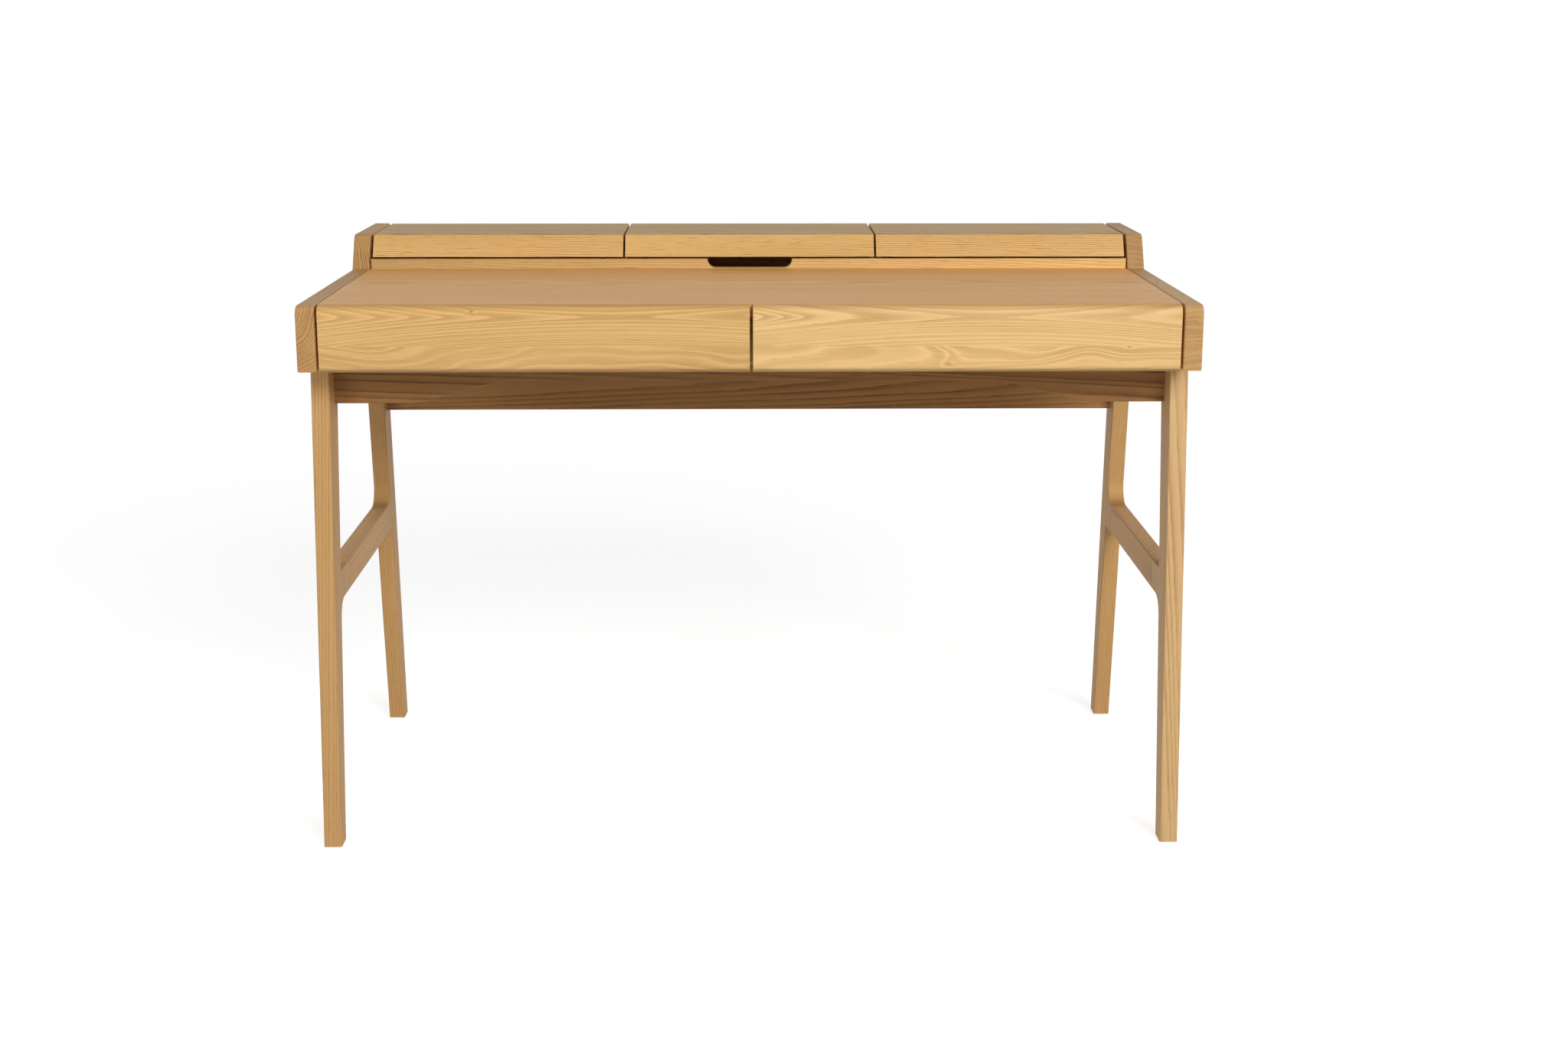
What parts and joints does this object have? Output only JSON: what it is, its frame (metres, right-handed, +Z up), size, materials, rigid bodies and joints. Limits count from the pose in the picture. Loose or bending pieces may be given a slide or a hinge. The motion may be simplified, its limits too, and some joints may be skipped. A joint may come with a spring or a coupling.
{
  "type": "writing desk",
  "caption": "Wooden writing desk on splayed tapered legs, with push-in drawers, a raised rear gallery under hinged lids and a notch for cables.",
  "frame": {"origin": "centre of the desk's footprint, on the floor", "axes": "+X to the right along the desk's length, +Y from the sitter's side to the rear, +Z up"},
  "size_m": [1.2, 0.65, 0.815],
  "materials": {
    "top_wood": "satin clear lacquer on ash",
    "drawer_front_wood": "satin clear lacquer on ash with flame figure",
    "panel_wood": "satin clear lacquer on ash",
    "leg_wood": "satin clear lacquer on straight-grained ash",
    "inner_wood": "thinly lacquered ash",
    "drawer_box_wood": "sanded birch plywood",
    "dowel_wood": "plain beech",
    "slide_steel": "zinc-plated steel",
    "hinge_steel": "satin nickel-plated steel",
    "screw_steel": "zinc-plated steel",
    "glide_nylon": "plain nylon",
    "bumper_rubber": "clear soft plastic"
  },
  "bodies": {
    "frame": {"apron_dowels": "dowel_wood", "back_panel": "panel_wood", "carcass_dowels": "dowel_wood", "centre_divider": "inner_wood", "desktop": "top_wood", "drawer_bay_bottom": "inner_wood", "foot_glides": "glide_nylon", "front_apron": "leg_wood", "gallery_floor": "inner_wood", "gallery_front_board": "panel_wood", "hinge_leaves_back_panel": "hinge_steel", "hinge_pins": "hinge_steel", "hinge_screws_back_panel": "screw_steel", "left_drawer_fixed_slides": "slide_steel", "left_front_leg": "leg_wood", "left_gallery_divider": "inner_wood", "left_rear_leg": "leg_wood", "left_side_panel": "panel_wood", "left_stretcher": "leg_wood", "leg_dowels": "dowel_wood", "lid_bumpers": "bumper_rubber", "rear_apron": "leg_wood", "right_drawer_fixed_slides": "slide_steel", "right_front_leg": "leg_wood", "right_gallery_divider": "inner_wood", "right_rear_leg": "leg_wood", "right_side_panel": "panel_wood", "right_stretcher": "leg_wood", "slide_screws_carcass": "screw_steel", "stretcher_dowels": "dowel_wood"},
    "left_drawer": {"left_drawer_back": "drawer_box_wood", "left_drawer_bottom": "drawer_box_wood", "left_drawer_front": "drawer_front_wood", "left_drawer_front_screws": "screw_steel", "left_drawer_inner_front": "drawer_box_wood", "left_drawer_left_side": "drawer_box_wood", "left_drawer_moving_slides": "slide_steel", "left_drawer_right_side": "drawer_box_wood", "left_drawer_slide_screws": "screw_steel"},
    "right_drawer": {"right_drawer_back": "drawer_box_wood", "right_drawer_bottom": "drawer_box_wood", "right_drawer_front": "drawer_front_wood", "right_drawer_front_screws": "screw_steel", "right_drawer_inner_front": "drawer_box_wood", "right_drawer_left_side": "drawer_box_wood", "right_drawer_moving_slides": "slide_steel", "right_drawer_right_side": "drawer_box_wood", "right_drawer_slide_screws": "screw_steel"},
    "left_lid": {"left_lid": "top_wood", "left_lid_hinge_leaves": "hinge_steel", "left_lid_hinge_screws": "screw_steel"},
    "middle_lid": {"middle_lid": "top_wood", "middle_lid_hinge_leaves": "hinge_steel", "middle_lid_hinge_screws": "screw_steel"},
    "right_lid": {"right_lid": "top_wood", "right_lid_hinge_leaves": "hinge_steel", "right_lid_hinge_screws": "screw_steel"}
  },
  "joints": [
    {"name": "left_drawer_slide", "type": "slide", "parent": "frame", "child": "left_drawer", "axis": [0, -1, 0], "range_m": [0, 0.25]},
    {"name": "right_drawer_slide", "type": "slide", "parent": "frame", "child": "right_drawer", "axis": [0, -1, 0], "range_m": [0, 0.25]},
    {"name": "left_lid_hinge", "type": "hinge", "parent": "frame", "child": "left_lid", "pos_m": [-0.382, 0.322, 0.7956], "axis": [-1, 0, 0], "range_deg": [0, 95]},
    {"name": "middle_lid_hinge", "type": "hinge", "parent": "frame", "child": "middle_lid", "pos_m": [0, 0.322, 0.7956], "axis": [-1, 0, 0], "range_deg": [0, 95]},
    {"name": "right_lid_hinge", "type": "hinge", "parent": "frame", "child": "right_lid", "pos_m": [0.382, 0.322, 0.7956], "axis": [-1, 0, 0], "range_deg": [0, 95]}
  ]
}
